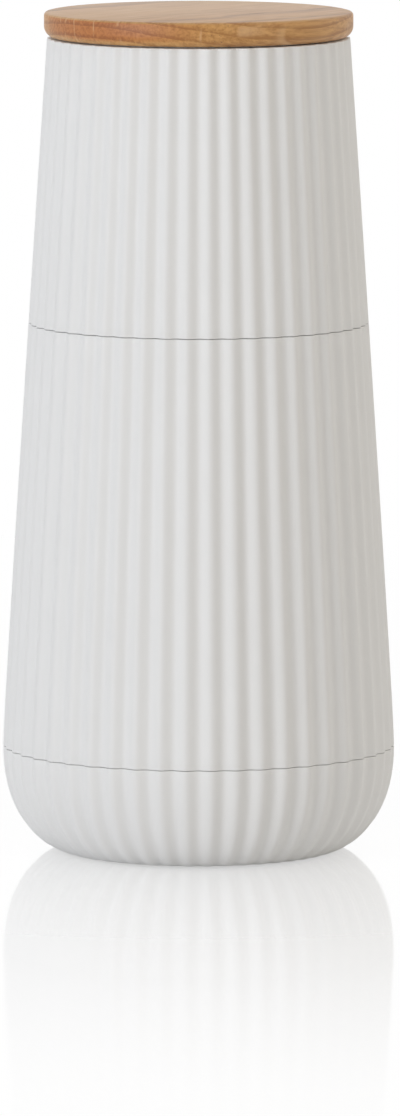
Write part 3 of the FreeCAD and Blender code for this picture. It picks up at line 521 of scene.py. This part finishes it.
def moulded(name, colour, roughness, mottle=0.03, gloss_change=0.15, grain=4000, relief=0.02):
    """A moulded material: plastic, silicone or ceramic. The relief is in millimetres."""
    material, tree, shader = new_material(name)
    skin = add(tree, "Group", {"node_tree": moulded_skin}, {
        "Color": (*colour, 1), "Mottle": mottle, "Roughness": roughness,
        "Gloss Change": gloss_change, "Grain": grain,
    }).outputs
    bump = add(tree, "Bump", (), {"Height": skin["Height"], "Distance": relief * MM, "Strength": 1.0})
    tree.links.new(skin["Color"], shader["Base Color"])
    tree.links.new(skin["Roughness"], shader["Roughness"])
    tree.links.new(bump.outputs["Normal"], shader["Normal"])
    return material, shader


shell_plastic, _ = moulded("shell_plastic", (0.80, 0.80, 0.80), 0.55, mottle=0.02)
inner_plastic, _ = moulded("inner_plastic", (0.74, 0.735, 0.72), 0.42, mottle=0.03)
grinder_plastic, _ = moulded("grinder_plastic", (0.035, 0.035, 0.037), 0.5, mottle=0.2)
silicone, silicone_shader = moulded("silicone", (0.55, 0.54, 0.52), 0.6, mottle=0.06)
ceramic, _ = moulded("ceramic", (0.82, 0.80, 0.74), 0.7, mottle=0.08, grain=7000, relief=0.03)
silicone_shader["Subsurface Weight"].default_value = 0.15
silicone_shader["Subsurface Radius"].default_value = (SKIN_DEPTH, SKIN_DEPTH, SKIN_DEPTH)
print("materials so far:", [material.name for material in bpy.data.materials])

# %% [markdown]
# Metal here is either turned on a lathe, which leaves fine rings about the axis, or drawn
# through a die, which leaves lines along the bar. Both are the same noise, squeezed in
# different directions, so one group serves both: only its stretch differs.

# %% Metal group
def build_tool_marks():
    group, given, result = new_group(
        "tool_marks",
        {"Stretch": "Vector", "Roughness": "Float", "Gloss Change": "Float"},
        {"Roughness": "Float", "Height": "Float"},
    )
    place = add(group, "TexCoord").outputs["Object"]
    stretched = add(group, "VectorMath", {"operation": "MULTIPLY"}, {0: place, 1: given["Stretch"]})
    lines = noise(group, stretched.outputs["Vector"], 1, detail=3, roughness=0.7)
    smears = noise(group, place, 300, detail=2)
    change = calculate(group, "ADD", lines, calculate(group, "SUBTRACT", smears, 1.0))
    change = calculate(group, "MULTIPLY", change, given["Gloss Change"])
    group.links.new(calculate(group, "ADD", given["Roughness"], change, clamp=True), result["Roughness"])
    group.links.new(lines, result["Height"])
    return group


tool_marks = build_tool_marks()
print(tool_marks.name, "has", len(tool_marks.nodes), "nodes")

# %% [markdown]
# Three metals share the group: stainless screws, clips and spring, the brass nut, and the square
# shaft. The metal between the marks is a little duller than on their crests.

# %% Metals
TURNED = (700, 700, 9000)     # features per metre: rings about the axis
DRAWN = (9000, 9000, 60)      # lines along the bar
DULL = 0.85
MARK_DEPTH = 0.01 * MM


def metal(name, colour, roughness, stretch):
    material, tree, shader = new_material(name)
    inputs = {"Stretch": stretch, "Roughness": roughness, "Gloss Change": 0.25}
    marks = add(tree, "Group", {"node_tree": tool_marks}, inputs).outputs
    worn = spread(tree, marks["Height"], 0.3, 0.7)
    dulled = [DULL * part for part in colour]
    tint = blend_colours(tree, worn, (*dulled, 1), (*colour, 1))
    bump = add(tree, "Bump", (), {"Height": marks["Height"], "Distance": MARK_DEPTH, "Strength": 1.0})
    shader["Metallic"].default_value = 1.0
    tree.links.new(tint, shader["Base Color"])
    tree.links.new(marks["Roughness"], shader["Roughness"])
    tree.links.new(bump.outputs["Normal"], shader["Normal"])
    return material


steel = metal("steel", (0.56, 0.56, 0.57), 0.3, TURNED)
brass = metal("brass", (0.74, 0.53, 0.22), 0.28, TURNED)
shaft_metal = metal("shaft_metal", (0.72, 0.73, 0.74), 0.38, DRAWN)
print("metals:", steel.name, brass.name, shaft_metal.name)

# %% [markdown]
# Oak is built in the board's own directions: along the grain, across it, and out from the
# heart of the tree. Growth rings are rings about a far heart below the board. Pores are dark
# dashes along the grain, crowded into the early wood of each ring. Rays are thin pale sheets that
# run out from the heart, so they stand upright in the side of the lid. End grain
# drinks more oil and turns darker and redder.

# %% Oak
GRAIN_TURN = math.radians(132)            # carries the front left of the lid onto the grain
HEART = (0, 0.006, 0.130)                 # from the heart of the tree to the lid's centre
RING_SPACING = 2.3 * MM
WAVE_PERIOD = math.tau / 20               # of Blender's wave at a scale of 1
OAK_PALE = (0.60, 0.32, 0.102, 1)
OAK_DARK = (0.37, 0.162, 0.04, 1)
OAK_END = (0.76, 0.45, 0.26, 1)           # multiplies the colour
OAK_PORE = (0.12, 0.045, 0.02, 1)
OAK_RAY = (0.62, 0.37, 0.18, 1)

# Features per metre along the grain, across it and out from the heart
FIBRES = (70, 1500, 1500)
BANDS = (12, 45, 160)
PORES = (50, 1900, 1900)
RAYS = (22, 120, 14)
RAY_PATCHES = (40, 120, 260)
PORE_DEPTH = 0.06 * MM

# Shares in the mix of tones and colours
FIBRE_SHARE = 1.1
BAND_SHARE = 0.55
EARLY_SHARE = 0.3
END_SHARE = 0.85
RAY_SHARE = 0.7
PORE_SHARE = 0.8


def squeezed(tree, vector, density):
    """Scale the board's three directions to a density of features."""
    return add(tree, "VectorMath", {"operation": "MULTIPLY"}, {0: vector, 1: density}).outputs["Vector"]


def build_oak():
    material, tree, shader = new_material("oak")
    coordinates = add(tree, "TexCoord").outputs
    centre = Matrix.Rotation(GRAIN_TURN, 3, "Z") @ Vector((0, 0, lid_top))
    board = add(tree, "Mapping", {"vector_type": "POINT"}, {
        "Vector": coordinates["Object"], "Location": -centre, "Rotation": (0, 0, GRAIN_TURN),
    }).outputs["Vector"]
    rings_place = add(tree, "VectorMath", {"operation": "ADD"}, {0: board, 1: HEART}).outputs["Vector"]
    rings = add(tree, "TexWave", {"wave_type": "RINGS", "rings_direction": "X", "wave_profile": "SAW"}, {
        "Vector": rings_place, "Scale": WAVE_PERIOD / RING_SPACING, "Distortion": 2.2,
        "Detail": 2.0, "Detail Scale": 0.35, "Detail Roughness": 0.5,
    }).outputs["Fac"]
    early = spread(tree, rings, 0.45, 0.0)
    fibres = noise(tree, squeezed(tree, board, FIBRES), 1, detail=3, roughness=0.65)
    bands = noise(tree, squeezed(tree, board, BANDS), 1, detail=2)

    tone = calculate(tree, "MULTIPLY", fibres, FIBRE_SHARE)
    tone = calculate(tree, "ADD", tone, calculate(tree, "MULTIPLY", bands, BAND_SHARE))
    tone = calculate(tree, "SUBTRACT", tone, calculate(tree, "MULTIPLY", early, EARLY_SHARE))
    colour = blend_colours(tree, spread(tree, tone, 0.45, 1.0), OAK_DARK, OAK_PALE)

    cells = add(tree, "TexVoronoi", (), {"Vector": squeezed(tree, board, PORES), "Scale": 1.0}).outputs
    chosen = add(tree, "SeparateColor", (), {"Color": cells["Color"]}).outputs["Red"]
    open_pore = calculate(tree, "POWER", chosen, 4.0)
    size = calculate(tree, "MULTIPLY_ADD", early, 0.14, calculate(tree, "MULTIPLY", open_pore, 0.2))
    pores = spread(tree, calculate(tree, "SUBTRACT", size, cells["Distance"]), -0.04, 0.1)
    sheets = noise(tree, squeezed(tree, board, RAYS), 1, detail=1)
    beside = calculate(tree, "ABSOLUTE", calculate(tree, "SUBTRACT", sheets, NOISE_MEAN))
    strength = spread(tree, noise(tree, squeezed(tree, board, RAY_PATCHES), 1), 0.4, 0.6)
    rays = calculate(tree, "MULTIPLY", spread(tree, beside, 0.018, 0.003), strength)

    facing = add(tree, "VectorRotate", {"rotation_type": "Z_AXIS"}, {
        "Vector": coordinates["Normal"], "Angle": GRAIN_TURN,
    }).outputs["Vector"]
    along = add(tree, "SeparateXYZ", (), {"Vector": facing}).outputs["X"]
    end_grain = spread(tree, calculate(tree, "ABSOLUTE", along), 0.65, 1.0)
    redder = calculate(tree, "MULTIPLY", end_grain, END_SHARE)
    colour = blend_colours(tree, redder, colour, OAK_END, "MULTIPLY")
    colour = blend_colours(tree, calculate(tree, "MULTIPLY", rays, RAY_SHARE), colour, OAK_RAY)
    colour = blend_colours(tree, calculate(tree, "MULTIPLY", pores, PORE_SHARE), colour, OAK_PORE)

    height = calculate(tree, "MULTIPLY_ADD", pores, -1.0, calculate(tree, "MULTIPLY", fibres, 0.4))
    bump = add(tree, "Bump", (), {"Height": height, "Distance": PORE_DEPTH, "Strength": 1.0})
    tree.links.new(colour, shader["Base Color"])
    tree.links.new(spread(tree, fibres, 0.2, 0.8, 0.55, 0.42), shader["Roughness"])
    tree.links.new(bump.outputs["Normal"], shader["Normal"])
    shader["Sheen Weight"].default_value = 0.14       # sanded fibres catch light at a low angle
    shader["Sheen Roughness"].default_value = 0.5
    return material


oak = build_oak()
print("oak has", len(oak.node_tree.nodes), "nodes")

# %% [markdown]
# ## Dress every piece
#
# The record of the part names a finish for each CAD piece. The new pieces take theirs
# the same way, so the whole mill is dressed from one list.

# %% Assign the finishes
finishes = {
    "shell": shell_plastic, "inner_plastic": inner_plastic, "grinder_plastic": grinder_plastic,
    "silicone": silicone, "ceramic": ceramic, "shaft_metal": shaft_metal,
    "steel": steel, "brass": brass, "oak": oak,
}
for subpart in frame["record"]["subparts"]:
    node = frame["nodes"][subpart["node"]]
    for place in node.material_slots:
        place.material = finishes[subpart["material_slot"]]
for piece in (fluted_base, fluted_body, fluted_head):
    piece.data.materials.append(shell_plastic)
silicone_foot.data.materials.append(silicone)
oak_lid.data.materials.append(oak)
print("finishes:", len(finishes))

# %% [markdown]
# ## The studio
#
# The photograph was taken from far away with a long lens, slightly above the mill, against white.
# A lens of that length on a 36 mm frame needs the camera 2.2 m off. The floor is glossy: it
# mirrors the mill faintly, and the mirror image fades with distance.

# %% Camera
CAMERA_PLACE = (0.00027, -2.223, 0.3325)
CAMERA_DIP = math.radians(6.9975)
LENS = 353.9
FRAME_WIDTH = 36.0
FAR_CLIP = 20.0

camera = bpy.data.objects.new("camera", bpy.data.cameras.new("camera"))
camera.data.lens = LENS
camera.data.sensor_width = FRAME_WIDTH
camera.data.clip_end = FAR_CLIP
camera.location = CAMERA_PLACE
camera.rotation_euler = Euler((math.pi / 2 - CAMERA_DIP, 0, 0))
bpy.context.scene.collection.objects.link(camera)
bpy.context.scene.camera = camera
print("camera", round(Vector(CAMERA_PLACE).length, 3), "m from the foot")

# %% [markdown]
# The floor has to look white, keep the shadow and mirror the mill, all without extra light on it.
# What the camera sees is mostly a white emission with some diffuse floor in it, which carries
# the shadow, and a mirror that is strongest near the foot. Light that bounces between the floor
# and the mill meets a plain pale diffuse floor.

# %% Floor
STAGE_RADIUS = 6.0
STAGE_SEGMENTS = 64
MIRROR_NEAR = 0.42            # share of mirror in the floor, at the foot
MIRROR_FAR = 0.03             # and where the mirror image has faded
MIRROR_FADE = (0.02, 0.33)    # distances from the mill's axis, in metres
MIRROR_ROUGHNESS = 0.06
GLOW_NEAR = 0.9               # share of white emission near the mill
SHADOW_NEAR = 0.16            # share of diffuse floor near the mill
SHADOW_FADE = (0.15, 0.6)
PALE_GREY = (0.9, 0.9, 0.9, 1)
WHITE = (1, 1, 1, 1)


def seen_directly(tree):
    """1 for rays from the camera, a mirror or glass, and 0 for light that bounces."""
    path = add(tree, "LightPath").outputs
    seen = calculate(tree, "MAXIMUM", path["Is Camera Ray"], path["Is Glossy Ray"])
    return calculate(tree, "MAXIMUM", seen, path["Is Transmission Ray"])


def build_floor_finish():
    material = bpy.data.materials.new("studio_floor")
    material.use_nodes = True
    tree = material.node_tree
    tree.nodes.clear()
    place = add(tree, "TexCoord").outputs["Object"]
    distance = add(tree, "VectorMath", {"operation": "LENGTH"}, {0: place}).outputs["Value"]
    fade = spread(tree, distance, *MIRROR_FADE, MIRROR_NEAR, MIRROR_FAR)
    glow = spread(tree, distance, *SHADOW_FADE, GLOW_NEAR, 1.0)
    white = add(tree, "Emission", (), {"Color": WHITE, "Strength": glow}).outputs[0]
    greyness = spread(tree, distance, *SHADOW_FADE, SHADOW_NEAR, 0.0)
    shadowed = add(tree, "BsdfDiffuse", (), {"Color": greyness}).outputs[0]
    seen = add(tree, "AddShader", (), {0: white, 1: shadowed}).outputs[0]
    mirror = add(tree, "BsdfGlossy", (), {"Color": WHITE, "Roughness": MIRROR_ROUGHNESS}).outputs[0]
    polished = add(tree, "MixShader", (), {0: fade, 1: seen, 2: mirror}).outputs[0]
    plain = add(tree, "BsdfDiffuse", (), {"Color": PALE_GREY}).outputs[0]
    surface = add(tree, "MixShader", (), {0: seen_directly(tree), 1: plain, 2: polished})
    add(tree, "OutputMaterial", (), {"Surface": surface.outputs[0]})
    return material


bm = bmesh.new()
bmesh.ops.create_circle(bm, cap_ends=True, radius=STAGE_RADIUS, segments=STAGE_SEGMENTS)
mesh = bpy.data.meshes.new("studio_floor")
bm.to_mesh(mesh)
bm.free()
mesh.materials.append(build_floor_finish())
studio_floor = bpy.data.objects.new("studio_floor", mesh)
bpy.context.scene.collection.objects.link(studio_floor)
print("floor radius:", STAGE_RADIUS, "m")

# %% [markdown]
# The world is plain white where the camera, a mirror or glass looks straight at it. As a light it
# is weak, so that the lamps model the flutes.

# %% World
ROOM_LIGHT = 0.2              # strength of the white world, where it isn't seen directly

world = bpy.data.worlds.new("white_room")
world.use_nodes = True
bpy.context.scene.world = world
tree = world.node_tree
tree.nodes.clear()
strength = calculate(tree, "MULTIPLY_ADD", seen_directly(tree), 1.0 - ROOM_LIGHT, ROOM_LIGHT)
background = add(tree, "Background", (), {"Color": WHITE, "Strength": strength})
add(tree, "OutputWorld", (), {"Surface": background.outputs[0]})
print("world:", world.name)

# %% [markdown]
# The main light stands low on the left, like a window, and lights the left side so evenly
# that the flutes vanish there. Weaker ones stand round the sides and the back, and one hangs
# overhead. Those on the right are a little warmer than the window.

# %% Lamps
LAMP_DISTANCE = 1.8
COOL = (0.985, 1.0, 1.02)
WARM = (1.08, 1.0, 0.87)


def soft_box(name, azimuth, elevation, size, power, colour=(1, 1, 1)):
    """A square area lamp aimed at the middle of the mill; azimuth 0 is behind the camera."""
    lamp = bpy.data.lights.new(name, "AREA")
    lamp.shape = "SQUARE"
    lamp.size = size
    lamp.energy = power
    lamp.color = colour
    turn = math.radians(azimuth)
    rise = math.radians(elevation)
    aim = Vector((0, 0, lid_top / 2))
    away = Vector((math.cos(rise) * math.sin(turn), -math.cos(rise) * math.cos(turn), math.sin(rise)))
    source = bpy.data.objects.new(name, lamp)
    source.location = aim + LAMP_DISTANCE * away
    source.rotation_euler = away.to_track_quat("Z", "Y").to_euler()
    bpy.context.scene.collection.objects.link(source)


soft_box("window_light", azimuth=-45, elevation=10, size=0.9, power=16.0, colour=COOL)
soft_box("left_light", azimuth=-100, elevation=15, size=1.4, power=2.6, colour=COOL)
soft_box("right_front_light", azimuth=45, elevation=15, size=1.4, power=7.6, colour=WARM)
soft_box("right_side_light", azimuth=105, elevation=15, size=1.4, power=5.0, colour=WARM)
soft_box("back_light", azimuth=180, elevation=45, size=1.4, power=4.5, colour=COOL)
soft_box("ceiling_light", azimuth=0, elevation=80, size=1.2, power=3.2)
bpy.context.scene.view_settings.view_transform = "Standard"
print("lamps:", len(bpy.data.lights))
